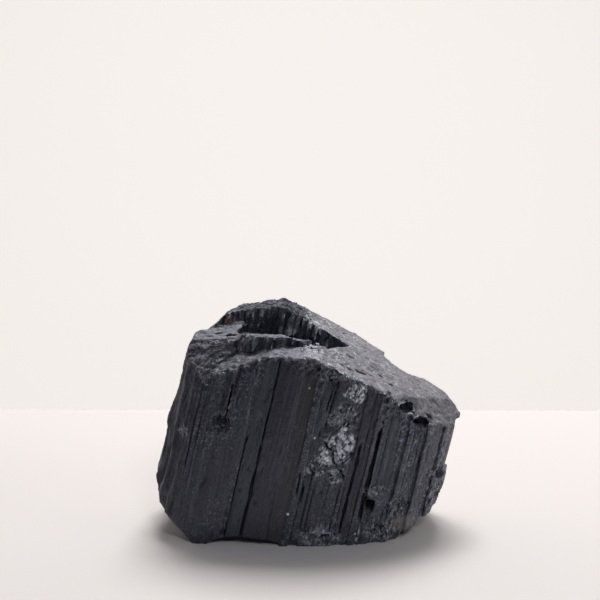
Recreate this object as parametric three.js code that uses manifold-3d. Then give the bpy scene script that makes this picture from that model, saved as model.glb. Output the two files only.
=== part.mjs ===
// Rough tourmaline crystal (schorl): one broken piece of a ribbed black prism, standing on a flat break.
//
// Millimetres, +Z up. The origin is the centre of the crystal's box, on the ground it stands on.
// The broad ribbed face looks towards -Y. The ribs run parallel to the crystal's long axis, which leans
// to +X and slightly to +Y. The top is broken in three terraces: a high block at the back, a middle ledge
// at the left, and a front shelf that runs into one long plane falling to the right. The ledge dips into
// a hollow at the foot of the high block.

import * as THREE from "three";
import { mergeVertices } from "three/addons/utils/BufferGeometryUtils.js";
import Module from "manifold-3d";

const wasm = await Module();
wasm.setup();

// ---- driving dimensions ----------------------------------------------------------------------------

const LEAN_RIGHT = 0.23; // how far the long axis moves to +X for each millimetre of height
const LEAN_BACK = 0.09; // and how far it moves to +Y
const ABOVE_TOP = 60; // a height that clears the whole crystal
const REACH = 80; // a length that clears the crystal sideways

// The cross-section at ground level, seen from above and listed counterclockwise: the left flank, the
// broad face, the right flank and the back. A pair of close points is a step between two ribs, and
// three or four make a groove.

const LEFT_FLANK = [
  [-30.3, -3.6],
  [-29.9, -6.6],
  [-28.6, -8.5],
  [-28.3, -10.2],
  [-26.8, -11.5],
  [-26.3, -12.8],
];
const BROAD_FACE = [
  [-25.3, -13.5],
  [-20.4, -14.2],
  [-20.2, -14.4],
  [-16.0, -14.8],
  [-15.8, -14.5],
  [-12.6, -14.8],
  [-12.48, -14.0],
  [-12.36, -14.0],
  [-12.24, -15.0],
  [-8.1, -15.4],
  [-7.9, -15.1],
  [-5.5, -15.3],
  [-5.3, -15.7],
  [-3.9, -15.6],
  [-3.7, -15.0],
  [-2.4, -15.0],
  [-2.2, -15.6],
  [3.6, -15.4],
  [3.8, -14.9],
  [6.3, -14.7],
  [6.5, -15.1],
  [7.25, -15.0],
  [7.45, -13.8],
  [7.8, -13.7],
  [8.0, -14.8],
  [10.0, -14.4],
  [10.2, -13.9],
  [12.3, -13.4],
  [12.5, -13.8],
  [13.6, -13.4],
];
const RIGHT_FLANK = [
  [13.8, -12.8],
  [16.0, -11.6],
  [16.2, -12.0],
  [17.6, -11.1],
  [17.8, -10.5],
  [19.3, -9.1],
  [19.6, -9.4],
  [20.8, -8.2],
  [21.0, -7.6],
  [22.4, -5.8],
];
const BACK = [
  [22.7, -2.4],
  [21.9, 0.2],
  [22.0, 1.4],
  [19.4, 4.4],
  [18.6, 4.3],
  [16.0, 6.6],
  [12.4, 8.4],
  [12.0, 8.0],
  [7.6, 10.0],
  [7.4, 10.6],
  [2.6, 12.4],
  [2.0, 11.9],
  [-2.6, 13.2],
  [-2.9, 13.8],
  [-7.8, 14.4],
  [-8.2, 13.9],
  [-13.4, 13.9],
  [-13.8, 13.2],
  [-18.2, 12.4],
  [-18.8, 11.7],
  [-22.6, 9.8],
  [-22.8, 9.0],
  [-26.2, 6.2],
  [-26.6, 6.6],
  [-28.9, 2.4],
  [-28.8, 1.4],
];
const CROSS_SECTION = [...LEFT_FLANK, ...BROAD_FACE, ...RIGHT_FLANK, ...BACK];

// ---- shapes ----------------------------------------------------------------------------------------

/** A closed three.js geometry as a solid that can be joined and cut. */
function solid(geometry) {
  const bare = geometry.clone();
  bare.deleteAttribute("normal");
  bare.deleteAttribute("uv");
  const welded = mergeVertices(bare, 1e-5);
  return new wasm.Manifold(
    new wasm.Mesh({
      numProp: 3,
      vertProperties: new Float32Array(welded.attributes.position.array),
      triVerts: new Uint32Array(welded.index.array),
    }),
  );
}

/** An outline raised between two heights, unleaned. */
function raised(outline, low, high) {
  const shape = new THREE.Shape(outline.map(([x, y]) => new THREE.Vector2(x, y)));
  const geometry = new THREE.ExtrudeGeometry(shape, { depth: high - low, bevelEnabled: false, steps: 1 });
  return geometry.translate(0, 0, low);
}

/** A column of the given ground outline, leaning with the crystal. */
function leaningColumn(outline, low, high) {
  const lean = new THREE.Matrix4().makeShear(0, 0, 0, 0, LEAN_RIGHT, LEAN_BACK);
  return solid(raised(outline, low, high).applyMatrix4(lean));
}

/** A sloping plane z = height + right * x + back * y. */
const plane = (height, right, back) => ({ height, right, back });

/** Where the line that leans up from ground point (x, y) meets a plane. */
function meetingHeight({ height, right, back }, x, y) {
  return (height + right * x + back * y) / (1 - right * LEAN_RIGHT - back * LEAN_BACK);
}

/** Everything over a plane and inside a leaning column: what breaks away above a terrace. */
function overPlane(terrace, outline) {
  const geometry = raised(outline, 0, 1);
  const points = geometry.attributes.position;
  for (let i = 0; i < points.count; i += 1) {
    const x = points.getX(i);
    const y = points.getY(i);
    const z = points.getZ(i) < 0.5 ? meetingHeight(terrace, x, y) : ABOVE_TOP;
    points.setXYZ(i, x + LEAN_RIGHT * z, y + LEAN_BACK * z, z);
  }
  return solid(geometry);
}

/** The sloping plane through three points. */
function planeThrough(a, b, c) {
  const [pa, pb, pc] = [a, b, c].map((p) => new THREE.Vector3(...p));
  const normal = new THREE.Vector3().crossVectors(pb.clone().sub(pa), pc.clone().sub(pa));
  return plane(normal.dot(pa) / normal.z, -normal.x / normal.z, -normal.y / normal.z);
}

/** The half of space beyond the plane through three points, on the side that `away` points to. */
function beyond(a, b, c, away) {
  const [pa, pb, pc] = [a, b, c].map((p) => new THREE.Vector3(...p));
  const normal = new THREE.Vector3().crossVectors(pb.clone().sub(pa), pc.clone().sub(pa)).normalize();
  if (normal.dot(new THREE.Vector3(...away)) < 0) normal.negate();
  const box = new THREE.BoxGeometry(2 * REACH, 2 * REACH, 2 * REACH).translate(0, 0, REACH);
  box.applyQuaternion(new THREE.Quaternion().setFromUnitVectors(new THREE.Vector3(0, 0, 1), normal));
  return solid(box.translate(pa.x, pa.y, pa.z));
}

/** A pocket in the broad face: an outline in the x-z plane, cut in along +Y as far as `floor`. */
function facePocket(outline, floor) {
  const geometry = raised(
    outline.map(([x, z]) => [x, -z]),
    0,
    1,
  );
  geometry.rotateX(-Math.PI / 2); // the outline's second number becomes height
  const points = geometry.attributes.position;
  for (let i = 0; i < points.count; i += 1) {
    const z = points.getZ(i);
    const wall = points.getY(i) > 0.5 ? floor : IN_FRONT;
    points.setXYZ(i, points.getX(i) + LEAN_RIGHT * z, wall + LEAN_BACK * z, z);
  }
  return solid(geometry);
}

// ---- the broken top --------------------------------------------------------------------------------

const LONG_PLANE = plane(34.8, -0.49, 0.12); // falls to the right
const BLOCK_SHOULDER = plane(38.7, 0.08, 0.0); // the high block's top falls to the left
const BLOCK_END = planeThrough([-15.0, 2.8, 37.4], [-16.9, 1.6, 35.9], [-15.2, 6.0, 36.8]);
const LEDGE_LEFT = plane(36.2, 0.08, 0.2);
const LEDGE_BACK = planeThrough([-11.0, 4.0, 35.1], [-8.0, 4.8, 33.9], [-12.5, -0.3, 35.1]);
const LEDGE_RIGHT = plane(33.75, -0.05, -0.22); // dips towards the foot of the high block
const LEDGE_TIP = planeThrough([-4.3, -6.0, 35.2], [-0.3, -5.5, 34.2], [-2.6, 2.9, 32.2]);
const GOUGE = plane(30.8, 0.17, -0.28); // the wedge-shaped dip that ends the block's cliff
const SHELF = plane(33.9, 0.0, 0.08);
const SHELF_LEFT = plane(36.0, 0.3, 0.08);
const SHOULDER_SLOPE = planeThrough([-19.2, -3.5, 34.0], [-18.9, -9.4, 30.9], [-21.4, -3.8, 32.8]);
const SHOULDER_STEP = planeThrough([-16.7, -8.1, 30.4], [-14.0, -5.2, 31.5], [-15.1, -3.7, 34.3]);
const FRONT_RIGHT_FALL = planeThrough([13.1, -12.3, 27.2], [22.8, -7.8, 20.4], [25.5, -1.0, 22.0]);

// Ground outlines of the terraces. They run past the crystal wherever the terrace reaches its side.

const CLIFF = [
  [-40, -6],
  [-25.6, -1.4],
  [-21.6, 0.3],
  [-17.4, 1.2],
  [-12.4, 2.7],
  [-9.3, 1.7],
  [-6.4, 1.3],
  [-3.0, 0.2],
  [0.6, -0.3],
];
const LEDGE_RIM = [
  [-24.0, -12.0],
  [-23.6, -10.8],
  [-22.4, -9.0],
  [-21.1, -7.8],
  [-19.6, -7.3],
  [-18.3, -8.8],
  [-16.6, -9.3],
  [-14.8, -10.6],
  [-14.0, -9.9],
  [-12.6, -9.3],
  [-10.5, -9.0],
  [-8.8, -9.0],
  [-8.1, -8.0],
];
const WHOLE = [
  [-50, -40],
  [50, -40],
  [50, 40],
  [-50, 40],
];
const BLOCK_END_AREA = [
  [-40, -6.4],
  [-25.6, -1.8],
  [-22.4, -0.4],
  [-22.4, 30],
  [-40, 30],
];
const LEDGE_HOLLOW_BACK = [
  [-21.1, -3.6],
  [-19.9, -1.2],
  [-19.1, -0.3],
  [-17.6, 0.2],
  [-16.2, 1.0],
  [-15.6, 1.7],
];
const LEDGE_LEFT_AREA = [...CLIFF.slice(0, 3), [-20.2, 0.5], [-20.2, -40], [-40, -40]];
const LEDGE_BACK_AREA = [[-20.3, 0.5], [-20.3, -2.0], ...LEDGE_HOLLOW_BACK.slice(1), [-17.4, 1.2]];
const LEDGE_TIP_AREA = [...CLIFF.slice(4, 7), [-7.2, -6], [-8.0, -9.6], [-8.0, -40], [-12.4, -40]];
const LEDGE_RIGHT_AREA = [
  ...LEDGE_HOLLOW_BACK,
  ...CLIFF.slice(4, 7),
  [-7.2, -6],
  [-8.0, -9.6],
  [-8.0, -40],
  [-20.4, -40],
  [-20.4, -5.2],
];
const GOUGE_AREA = [...CLIFF.slice(5), [-2.4, -6.6], [-7.4, -8.0], [-8.4, -4]];
const SHELF_AREA = [...LEDGE_RIM, [-7.2, -6.8], [-2.6, -6.2], [2, -8], [2, -40], [-24.0, -40]];
const SHOULDER_AREA = [
  [-40, -6.0],
  [-28.6, -6.3],
  [-26.0, -6.7],
  [-21.5, -6.8],
  [-19.4, -7.1],
  [-19.5, -7.5],
  [-21.0, -8.0],
  [-22.3, -9.2],
  [-23.4, -11.0],
  [-23.8, -12.2],
  [-23.8, -40],
  [-40, -40],
];

function breakTop(prism) {
  const breaks = [
    [LONG_PLANE, WHOLE],
    [BLOCK_SHOULDER, WHOLE],
    [FRONT_RIGHT_FALL, WHOLE],
    [BLOCK_END, BLOCK_END_AREA],
    [LEDGE_LEFT, LEDGE_LEFT_AREA],
    [LEDGE_BACK, LEDGE_BACK_AREA],
    [LEDGE_RIGHT, LEDGE_RIGHT_AREA],
    [LEDGE_TIP, LEDGE_TIP_AREA],
    [SHELF, SHELF_AREA],
    [SHELF_LEFT, SHELF_AREA],
    [SHOULDER_SLOPE, SHOULDER_AREA],
    [SHOULDER_STEP, SHOULDER_AREA],
    [GOUGE, GOUGE_AREA],
  ];
  return breaks.reduce((body, [slope, area]) => body.subtract(overPlane(slope, area)), prism);
}

// ---- the broken sides ------------------------------------------------------------------------------

/** The back rim of the top falls away steeply, and a scoop dents it. */
function breakBackRim(body) {
  const apex = [-4.3, 11.4, 38.3];
  const shoulder = [-12.2, 9.4, 37.7];
  const blockEnd = [-16.4, 3.0, 36.5];
  const leftCorner = [-20.6, 0.8, 34.4];
  const middle = [8.9, 10.3, 31.7];
  const right = [24.6, 2.3, 23.0];
  const tip = [27.2, -3.4, 21.0];
  const up = [0, 0, 1];
  const behindBlock = [
    [-25.4, -1.2],
    [-10, -1.2],
    [-10, 30],
    [-25.4, 30],
  ];
  const behindLedge = [
    [-40, -8],
    [-25.2, -8],
    [-25.2, 30],
    [-40, 30],
  ];
  const scoop = [
    [7.6, 3.2],
    [10.4, 0.6],
    [14.4, 0.8],
    [16.4, 4],
    [16, 12],
    [7, 12],
  ];
  return body
    .subtract(beyond(apex, middle, [2, 17.5, 28], up))
    .subtract(beyond(shoulder, apex, [-8, 17, 28], up))
    .subtract(overPlane(planeThrough(shoulder, blockEnd, [-18, 9, 31]), behindBlock))
    .subtract(overPlane(planeThrough(blockEnd, leftCorner, [-22, 8, 28]), behindLedge))
    .subtract(beyond(leftCorner, [-21.4, -3.8, 33.2], [-26, 2, 24], up))
    .subtract(beyond(middle, right, [19, 13, 20], up))
    .subtract(beyond(right, tip, [29, 3.5, 14], up))
    .subtract(overPlane(plane(37.6, -0.49, -0.8), scoop));
}

const RIGHT_UNDERCUT = [
  [18.1, -20],
  [40, -20],
  [40, 20],
  [15.5, 20],
  [16.8, 4],
  [18.6, -4],
];

const UPPER_LEFT_EDGE = [
  [-40, -20],
  [-29.1, -20],
  [-29.1, -6.4],
  [-29.4, -2.4],
  [-28.1, 2],
  [-28.7, 12],
  [-40, 12],
];

/** Corners lost at the foot, and the flank's small upper setback. */
function breakFoot(body) {
  const upperSetback = planeThrough([-26.3, -4, 18], [-25.0, -4, 21.2], [-26.0, 4, 18.6]);
  return body
    .subtract(beyond([-20.6, -14, 0], [-21.6, 4, 0], [-28.6, -6, 7.6], [-1, 0, -1]))
    .subtract(beyond([15.2, -12, 0], [14.0, 6, 0], [18.6, -10, 1.8], [1, 0, -1]))
    .subtract(leaningColumn(RIGHT_UNDERCUT, -1, 2.9))
    .subtract(beyond([21.6, -7.2, 3.0], [21.0, 4, 3.4], [24.3, -5.6, 7.4], [1, 0, -1]))
    .subtract(beyond([-12, 13.4, 0], [4, 11.4, 0], [-4, 15, 6], [0, 1, -1]))
    .subtract(beyond([-24, 4, 5], [-21, 8, 0], [-27, 5.4, 12], [-1, 1, -1]))
    .subtract(overPlane(upperSetback, UPPER_LEFT_EDGE));
}

/** A shallow arch under the left of the broad face, and a broken hollow under the back. */
function hollowFoot(body) {
  const arch = new THREE.SphereGeometry(1, 16, 10).scale(6.6, 4.2, 1.25).translate(-11.6, -15.2, 0);
  const hollow = new THREE.SphereGeometry(1, 14, 8).scale(5.5, 3.2, 1.6).translate(7.5, 11.2, 0);
  return body.subtract(solid(arch)).subtract(solid(hollow));
}

// Pockets in the broad face, outlined as [x at ground level along the ribs, height]. The floor of each
// is its y at ground level.

const IN_FRONT = -20; // clear of the broad face

const GRAINY_PATCH = [
  [-1.9, 29.2],
  [-2.7, 21.5],
  [-3.6, 15.2],
  [-1.6, 13.4],
  [2.4, 14.2],
  [3.8, 16.4],
  [3.7, 26.6],
  [2.2, 28.6],
];
const UPPER_HOLE = [
  [9.9, 24.9],
  [10.1, 23.4],
  [11.4, 22.8],
  [12.7, 23.0],
  [12.4, 24.3],
];
const SIDE_HOLE = [
  [12.4, 21.9],
  [14.0, 20.4],
  [16.2, 19.9],
  [15.6, 21.6],
];
const LOW_HOLE = [
  [8.0, 8.2],
  [8.2, 5.7],
  [9.6, 5.5],
  [9.4, 7.8],
];
const LEFT_SLOT = [
  [-19.95, 28.4],
  [-19.85, 22.3],
  [-19.45, 22.3],
  [-19.45, 28.4],
];
const LEFT_PIT = [
  [-21.2, 22.4],
  [-20.8, 21.2],
  [-19.1, 21.0],
  [-19.3, 22.2],
];

const POCKETS = [
  { outline: GRAINY_PATCH, floor: -14.5 },
  { outline: UPPER_HOLE, floor: -11.4 },
  { outline: SIDE_HOLE, floor: -10.2 },
  { outline: LOW_HOLE, floor: -12.7 },
  { outline: LEFT_SLOT, floor: -13.7 },
  { outline: LEFT_PIT, floor: -13.4 },
];

function pocketFace(body) {
  return POCKETS.reduce((left, { outline, floor }) => left.subtract(facePocket(outline, floor)), body);
}

/** The right edge is set back between its tip and a nick, with a small block left proud below it. */
function breakRightEdge(body) {
  const setback = [
    [21.7, -20],
    [40, -20],
    [40, 10],
    [21.3, 10],
    [21.5, 0],
  ];
  const nick = new THREE.BoxGeometry(6, 6, 1.7).rotateY(-0.3).translate(25.4, -8.4, 11.1);
  return body.subtract(leaningColumn(setback, 10.2, 19.3)).subtract(solid(nick));
}

// ---- the crystal -----------------------------------------------------------------------------------

function crystalBody() {
  const prism = leaningColumn(CROSS_SECTION, 0, ABOVE_TOP);
  return breakRightEdge(pocketFace(hollowFoot(breakFoot(breakBackRim(breakTop(prism))))));
}

/** The solid as a three.js geometry, with the origin under the centre of its box. */
function centredGeometry(body) {
  const mesh = body.getMesh();
  const indexed = new THREE.BufferGeometry();
  indexed.setAttribute("position", new THREE.BufferAttribute(mesh.vertProperties, mesh.numProp));
  indexed.setIndex(new THREE.BufferAttribute(mesh.triVerts, 1));
  indexed.computeBoundingBox();
  const box = indexed.boundingBox;
  indexed.translate(-(box.min.x + box.max.x) / 2, -(box.min.y + box.max.y) / 2, -box.min.z);
  const faceted = indexed.toNonIndexed();
  faceted.computeVertexNormals();
  return faceted;
}

const blackTourmaline = new THREE.MeshStandardMaterial({
  color: new THREE.Color(0x2e2f35),
  roughness: 0.42,
  metalness: 0,
});

const crystal = new THREE.Mesh(centredGeometry(crystalBody()), blackTourmaline);
crystal.name = "tourmaline_crystal";

const tourmaline = new THREE.Group();
tourmaline.add(crystal);

export default tourmaline;
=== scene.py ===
# %% [markdown]
# # Rough black tourmaline
#
# One broken chunk of schorl, about 55 mm wide, standing on a flat break. Its sides are bundles of
# parallel ribs, split by black grooves, and its top is a flight of grey broken terraces. The crystal is
# carved from the measured CAD body: the body is rebuilt as a fine skin, and everything the body is too
# plain to hold is cut into that skin.

import itertools
import math

import bmesh
import bpy
import numpy as np
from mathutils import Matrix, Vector


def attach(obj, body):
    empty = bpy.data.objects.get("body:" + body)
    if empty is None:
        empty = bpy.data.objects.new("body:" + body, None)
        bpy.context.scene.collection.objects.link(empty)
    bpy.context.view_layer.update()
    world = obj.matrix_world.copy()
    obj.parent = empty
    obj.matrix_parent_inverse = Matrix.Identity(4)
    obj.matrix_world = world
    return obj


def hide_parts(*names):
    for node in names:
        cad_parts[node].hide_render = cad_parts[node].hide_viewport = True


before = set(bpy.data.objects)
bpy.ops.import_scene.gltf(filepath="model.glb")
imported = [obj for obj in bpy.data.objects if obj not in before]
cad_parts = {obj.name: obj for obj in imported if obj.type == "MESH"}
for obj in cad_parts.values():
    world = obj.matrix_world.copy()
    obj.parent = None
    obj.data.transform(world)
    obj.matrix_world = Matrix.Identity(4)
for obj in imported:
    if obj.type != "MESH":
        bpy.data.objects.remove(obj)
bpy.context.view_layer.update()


# %% [markdown]
# The ribs lean, so the work is done in the crystal's own coordinates: x and y where a rib meets the
# ground, and t, the height along it. In these coordinates every rib stands upright and a striation is
# simply a pattern that doesn't change with t. All lengths are in millimetres.

# %% Crystal coordinates
MM = 0.001
LEAN = np.array([0.23, 0.09])  # sideways travel of a rib for each millimetre of height
AXIS_FOOT = np.array([-0.3003, 0.7115])  # the crystal's own origin, seen from the box centre


def to_crystal(metres):
    p = metres / MM
    p[:, :2] += AXIS_FOOT - LEAN * p[:, 2:]
    return p


def to_frame(crystal):
    p = crystal.copy()
    p[:, :2] += LEAN * p[:, 2:] - AXIS_FOOT
    return p * MM


def read(mesh):
    flat = np.empty(len(mesh.vertices) * 3)
    mesh.vertices.foreach_get("co", flat)
    return flat.reshape(-1, 3)


def write(mesh, points):
    mesh.vertices.foreach_set("co", points.ravel())
    mesh.update()


# %% [markdown]
# The measured body is copied, welded and rebuilt as a skin of small even squares. Before the rebuild it
# is squashed along the ribs, so that the squares come out long along the ribs and narrow across them.
# Detail is then fine where the crystal needs it, across the striations.

# %% Rebuild the body as a fine skin
SQUASH = 1.8  # how much longer than wide the skin's cells are
CELL = 0.155
WELD = 1e-6  # metres


def with_modifier(obj, kind, **settings):
    """The mesh of an object after one modifier."""
    modifier = obj.modifiers.new(kind.lower(), kind)
    for name, value in settings.items():
        setattr(modifier, name, value)
    result = bpy.data.meshes.new_from_object(obj.evaluated_get(bpy.context.evaluated_depsgraph_get()))
    obj.modifiers.clear()
    return result


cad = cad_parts["tourmaline_crystal"]
welded = bmesh.new()
welded.from_mesh(cad.data)
bmesh.ops.remove_doubles(welded, verts=welded.verts, dist=WELD)
skin = bpy.data.meshes.new("skin")
welded.to_mesh(skin)
welded.free()
squashed = to_crystal(read(skin))
squashed[:, 2] /= SQUASH
write(skin, squashed)

crystal = bpy.data.objects.new("crystal", skin)
bpy.context.scene.collection.objects.link(crystal)
crystal.data = with_modifier(crystal, "REMESH", mode="VOXEL", voxel_size=CELL)
skin = crystal.data
points = read(skin)
points[:, 2] *= SQUASH
write(skin, points)
print("skin:", len(skin.vertices), "points")

# %% [markdown]
# A natural surface is irregular, but the same crystal has to come out every time, so each pattern is
# worked out from a seed. `chance` gives every cell of a grid its own number, `noise` blends those numbers
# into a soft pattern, and `rough` lays finer noise over coarse.


# %% Seeded noise
def chance(seed, *cells):
    """A number from 0 to 1 for every cell, the same on every run."""
    h = np.full(cells[0].shape, seed * 7919 + 17, np.uint32)
    for cell, prime in zip(cells, (73856093, 19349663, 83492791)):
        h ^= ((cell.astype(np.int64) * prime) & 0xFFFFFFFF).astype(np.uint32)
        h = (h ^ (h >> np.uint32(15))) * np.uint32(2246822519)
        h = (h ^ (h >> np.uint32(13))) * np.uint32(3266489917)
    return (h ^ (h >> np.uint32(16))) / 2.0**32


def ramp(low, high, value):
    """0 below low, 1 above high, smooth between; low may be the larger."""
    u = np.clip((value - low) / (high - low), 0, 1)
    return u * u * (3 - 2 * u)


def noise(seed, *axes):
    """Soft noise from -1 to 1 in one, two or three directions."""
    cells = [np.floor(a) for a in axes]
    weights = [ramp(0, 1, a - c) for a, c in zip(axes, cells)]
    total = 0
    for corner in itertools.product((0, 1), repeat=len(axes)):
        share = 1
        for w, k in zip(weights, corner):
            share = share * (w if k else 1 - w)
        total = total + share * chance(seed, *[c + k for c, k in zip(cells, corner)])
    return 2 * total - 1


def rough(seed, p, size, octaves=3):
    """Noise with finer noise on it, for points p, with lumps of this size."""
    total = 0
    for k in range(octaves):
        total = total + noise(seed + k, *(p / size * 2**k).T) * 0.5**k
    return total


# %% [markdown]
# Two more patterns are the crystal's own. `columns` cuts a line into irregular ribs, and `facets` breaks a
# surface into small tilted planes, as grains do when they split.


# %% Ribs and facets
def columns(seed, across, along, width, change):
    """Irregular ribs: (a level from -1 to 1 for each rib, how far a point is from its rib's edge)."""
    u = across / width
    u = u + 0.42 * noise(seed, u * 0.9, along / change * 0.5)
    cell = np.floor(u)
    part = u - cell
    level = noise(seed + 1, cell * 7.31, along / change + 50 * chance(seed + 2, cell))
    return level, np.minimum(part, 1 - part) * 2


def facets(seed, p, size):
    """Small tilted planes: (height from -1 to 1, distance to the crack between two of them)."""
    q = p / size
    home = np.floor(q)
    near = np.full(len(q), 9.0)
    second = np.full(len(q), 9.0)
    height = np.zeros(len(q))
    for step in itertools.product((-1, 0, 1), repeat=3):
        cell = home + step
        jitter = np.stack([chance(seed + k, *cell.T) for k in range(3)], 1)
        away = q - cell - jitter
        distance = np.sqrt((away**2).sum(1))
        tilt = np.stack([chance(seed + 3 + k, *cell.T) - 0.5 for k in range(3)], 1)
        own = (away * tilt).sum(1) * 2 + chance(seed + 6, *cell.T) - 0.5
        closer = distance < near
        second = np.where(closer, near, np.minimum(second, distance))
        height = np.where(closer, own, height)
        near = np.where(closer, distance, near)
    return height, second - near


# %% [markdown]
# The carver also needs to know which way each point faces, and what is an edge. Averaging every point
# with its neighbours gives a softened crystal, and a point that stands proud of it is on a ridge.


# %% Directions and ridges
def spread(values, rounds):
    """Values averaged with their neighbours' over the skin, again and again."""
    count = len(values)
    degree = np.bincount(edge_a, minlength=count) + np.bincount(edge_b, minlength=count)
    for _ in range(rounds):
        around = [
            np.bincount(edge_a, column[edge_b], count) + np.bincount(edge_b, column[edge_a], count)
            for column in values.T
        ]
        values = 0.4 * values + 0.6 * np.stack(around, 1) / degree[:, None]
    return values


def edge_ends(mesh):
    flat = np.empty(len(mesh.edges) * 2, np.int32)
    mesh.edges.foreach_get("vertices", flat)
    return flat.reshape(-1, 2).T


def directions():
    flat = np.empty(len(skin.vertices) * 3)
    skin.vertex_normals.foreach_get("vector", flat)
    return flat.reshape(-1, 3)


def unit(vectors):
    return vectors / np.maximum(np.linalg.norm(vectors, axis=1, keepdims=True), 1e-9)


edge_a, edge_b = edge_ends(skin)
facing = unit(spread(directions(), 3))
x, y, t = points.T
on_base = (t < 0.12) & (facing[:, 2] < -0.3)
side = ramp(0.72, 0.42, np.abs(facing[:, 2]))  # 1 on the ribbed sides and the cliffs
top = ramp(0.42, 0.72, facing[:, 2])  # 1 on the terraces
front = side * ramp(-0.15, -0.45, facing[:, 1]) * ramp(-8.5, -9.5, y)  # the broad ribbed face
right_flank = side * ramp(0.3, 0.55, facing[:, 0]) * ramp(12.5, 14, x)
left_flank = side * ramp(-0.3, -0.6, facing[:, 0]) * ramp(-24.0, -26.0, x) * ramp(2.0, -1.0, y)
print("sides", round(float(side.mean()), 2), "terraces", round(float(top.mean()), 2))

# %% [markdown]
# A broken edge is never a clean line. Stretches of each ridge are worn back towards the softened
# crystal, some barely and some by a millimetre.

# %% Chip the edges
soft = spread(points, 10)
very_soft = spread(soft, 45)
proud = ((points - soft) * facing).sum(1)
proud_wide = ((points - very_soft) * facing).sum(1)
wear = ramp(-0.3, 0.7, rough(11, points, 3.1)) * (proud > 0)
big_chip = ramp(0.15, 0.6, rough(15, points, 4.5, 2)) * (proud_wide > 0)
dip = ramp(7.5, 5.5, np.hypot(x - 11.0, y - 7.0)) * ramp(21, 23, t)  # where the back rim dips
wear = np.maximum(wear, dip * (proud > 0))
big_chip = np.maximum(big_chip, 2 * dip * (proud_wide > 0))
carved = points + (soft - points) * (0.85 * wear)[:, None]
carved += (very_soft - carved) * (0.3 * big_chip)[:, None]
ridge = ramp(0.03, 0.2, proud_wide)  # 1 along the crystal's convex edges

# %% [markdown]
# A path round the crystal gives each point on the sides a distance along the girth, which the rib
# patterns are laid on. Broad columns carry narrower ribs, and those carry fine striations. Every
# column keeps its own level and changes it slowly along its length.

# %% Ribs and striations
GIRTH = np.array(
    [(-30, -4), (-28, -10.2), (-25.3, -13.5), (-16, -14.8), (-4, -15.6), (8, -14.8), (13.7, -13.2)]
    + [(21, -7.8), (22.6, -3), (22, 1.6), (12.4, 8.4), (2.3, 12.3), (-8, 14.3), (-18.5, 12.2)]
    + [(-26.4, 6.5), (-28.9, 2.2)],
    float,
)
CLIFF_INSET = 2.2  # mm in from the girth, past which an upright wall is a cliff among the terraces


def along_path(px, py, path):
    """(distance along a path, distance from it) of the nearest place on the path."""
    best = np.full(len(px), 1e9)
    place = np.zeros(len(px))
    run = 0.0
    for a, b in zip(path[:-1], path[1:]):
        length = math.hypot(*(b - a))
        d = (b - a) / length
        s = np.clip((px - a[0]) * d[0] + (py - a[1]) * d[1], 0, length)
        gap = np.hypot(px - a[0] - s * d[0], py - a[1] - s * d[1])
        closer = gap < best
        place = np.where(closer, run + s, place)
        best = np.minimum(best, gap)
        run += length
    return place, best


girth, inset = along_path(x, y, np.vstack([GIRTH, GIRTH[:1]]))
across = np.where(inset > CLIFF_INSET, 300 + x + 0.6 * y, girth)  # the cliffs have ribs of their own
broad, broad_edge = columns(21, across, t, 2.3, 60)
rib, rib_edge = columns(25, across, t, 0.85, 26)
fine, fine_edge = columns(29, across, t, 0.36, 14)
# how strongly the ribs stand out from place to place
strength = (0.55 + 0.45 * noise(33, across * 0.21, t * 0.05)) * (0.75 + 0.6 * ramp(7, 9, x))
strength *= 1 - 0.5 * left_flank

relief = (0.14 - 0.08 * left_flank) * broad * ramp(0, 0.16, broad_edge)
relief += strength * (0.08 * rib * ramp(0, 0.25, rib_edge) + 0.05 * ramp(0, 0.9, rib_edge))
relief += 0.03 * fine + 0.03 * strength * ramp(0, 0.9, fine_edge)
relief += 0.12 * rough(35, points * [1, 1, 0.5], 9.0, 2)
print("ribs stand out, mm:", round(float(relief[side > 0.5].std()), 3))

# %% [markdown]
# The ribs are not whole everywhere. Thin splinters have sprung off, the left flank has a shallow waist, the
# rim behind dips and is ragged there, and the open slot closes up towards both its ends.

# %% Splinters and wear
slivers = noise(41, across * 0.8, t * 0.07) + 0.45 * noise(43, across * 1.7, t * 0.5)
sliver = ramp(0.62, 0.68, slivers)
relief -= 0.1 * sliver
relief += 0.022 * rough(45, points * [1, 1, 0.6], 0.55, 2)  # a fine grain all over

relief -= 0.45 * left_flank * ramp(8, 12, t) * ramp(20, 17, t)  # the waist
relief += 0.15 * left_flank * rough(37, points * [1, 1, 0.7], 1.2, 3)
relief += 0.6 * dip * rough(47, points, 1.8, 3)
dip_corner = np.hypot(x - 7.4, y - 4.2)
relief -= 0.6 * ramp(1.8, 0.6, dip_corner) * ramp(26, 27, t)
slot_end = np.maximum(ramp(19, 24, t), ramp(5.5, 3.5, t))
relief += 0.8 * ramp(7.1, 7.4, x) * ramp(8.1, 7.8, x) * slot_end * front
relief *= side
print("splintered share:", round(float((sliver * side).mean()), 3))

# %% [markdown]
# The largest grooves, slots and slits are placed one by one. Each is a line down the face, with its own
# width, depth and length, and it tapers out at both ends.

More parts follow.
